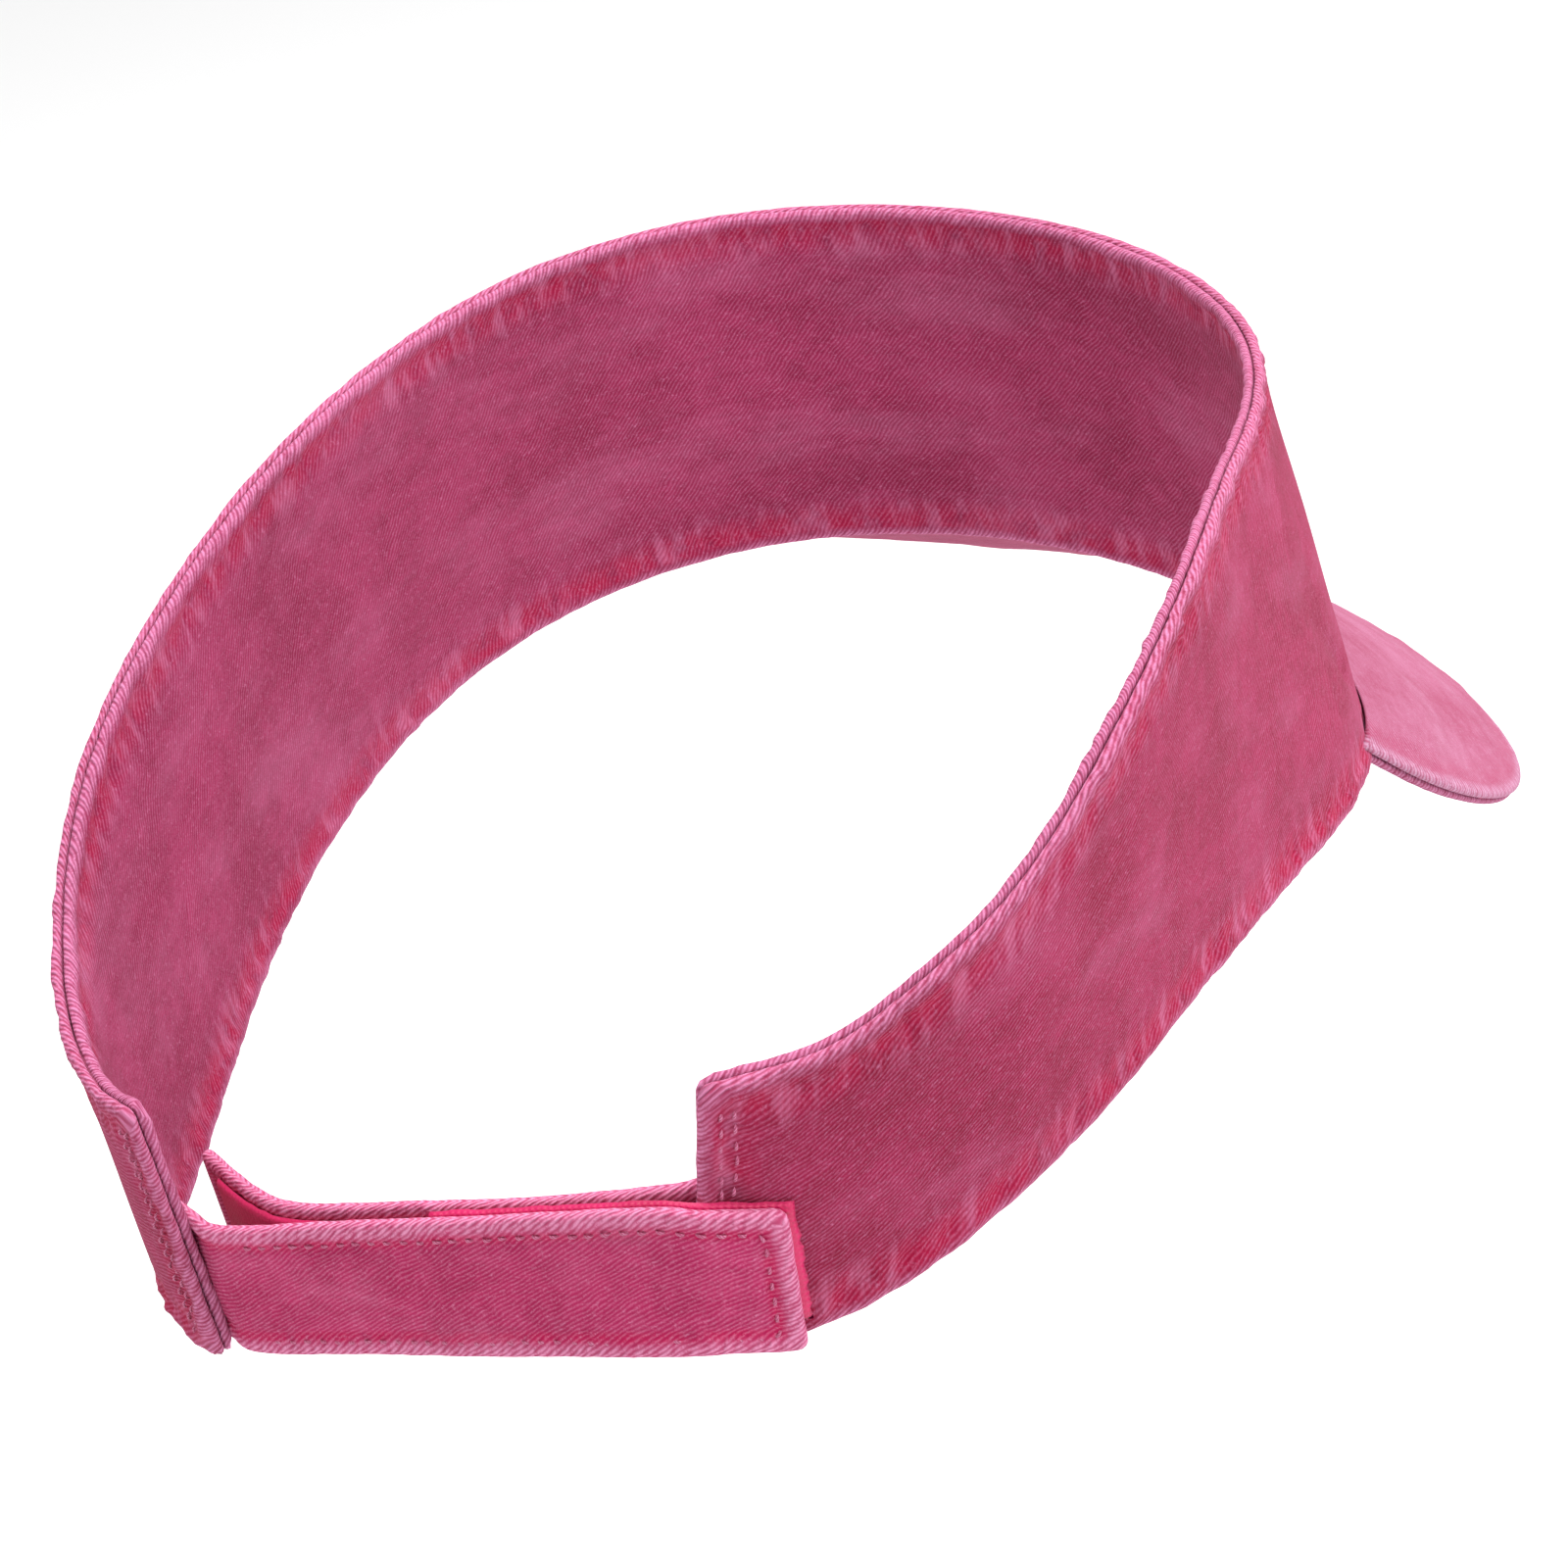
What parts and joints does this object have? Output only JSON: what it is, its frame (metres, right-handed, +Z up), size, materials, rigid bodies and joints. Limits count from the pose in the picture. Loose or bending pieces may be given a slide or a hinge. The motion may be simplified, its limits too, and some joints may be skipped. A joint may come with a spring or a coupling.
{
  "type": "sun visor",
  "caption": "Washed cotton-twill sun visor: open-topped headband tallest at the forehead, short curved brim and an overlapping hook-and-loop closure at the back.",
  "frame": {"origin": "middle of the head opening, at the mean level of the band's bottom edge", "axes": "+Z up as worn; the brim points to -Y; +Y to the closure at the back of the head; the wearer's right is -X"},
  "size_m": [0.1914, 0.2711, 0.1218],
  "materials": {
    "band_twill": "pigment-dyed cotton twill, washed, worn pale along its folded edges",
    "lining_twill": "the same twill, less worn",
    "brim_twill": "the same twill, faded pale on the brim's top",
    "buckram": "stiffened open weave",
    "brim_board": "sheet plastic",
    "hook_nylon": "woven nylon tape with small hooks",
    "loop_nylon": "soft nylon loop pile",
    "sewing_thread": "spun thread"
  },
  "bodies": {
    "band": {"outer_ply": "band_twill", "lining": "lining_twill", "front_stiffener": "buckram", "top_seam_thread": "sewing_thread", "bottom_seam_thread": "sewing_thread", "right_end_stitch_1": "sewing_thread", "right_end_stitch_2": "sewing_thread", "left_end_stitch_1": "sewing_thread", "left_end_stitch_2": "sewing_thread", "brim_top_cover": "brim_twill", "brim_board": "brim_board", "brim_under_cover": "band_twill", "brim_edge_thread": "sewing_thread", "brim_joining_thread": "sewing_thread", "hook_strap_root": "band_twill", "loop_strap_root": "band_twill"},
    "hook_strap_body": {"hook_strap": "band_twill", "hook_tape": "hook_nylon", "hook_strap_topstitch": "sewing_thread"},
    "loop_strap_body": {"loop_strap": "band_twill", "loop_tape": "loop_nylon", "loop_strap_topstitch": "sewing_thread"}
  },
  "joints": [
    {"name": "hook_strap_opens", "type": "hinge", "parent": "band", "child": "hook_strap_body", "pos_m": [0.04309, 0.10234, 0.00131], "axis": [-0.0032, -0.0062, -1], "range_deg": [0, 120]},
    {"name": "loop_strap_swings_in", "type": "hinge", "parent": "band", "child": "loop_strap_body", "pos_m": [-0.02185, 0.1006, 0.016], "axis": [0.1554, 0.0846, -0.9842], "range_deg": [0, 75]}
  ]
}
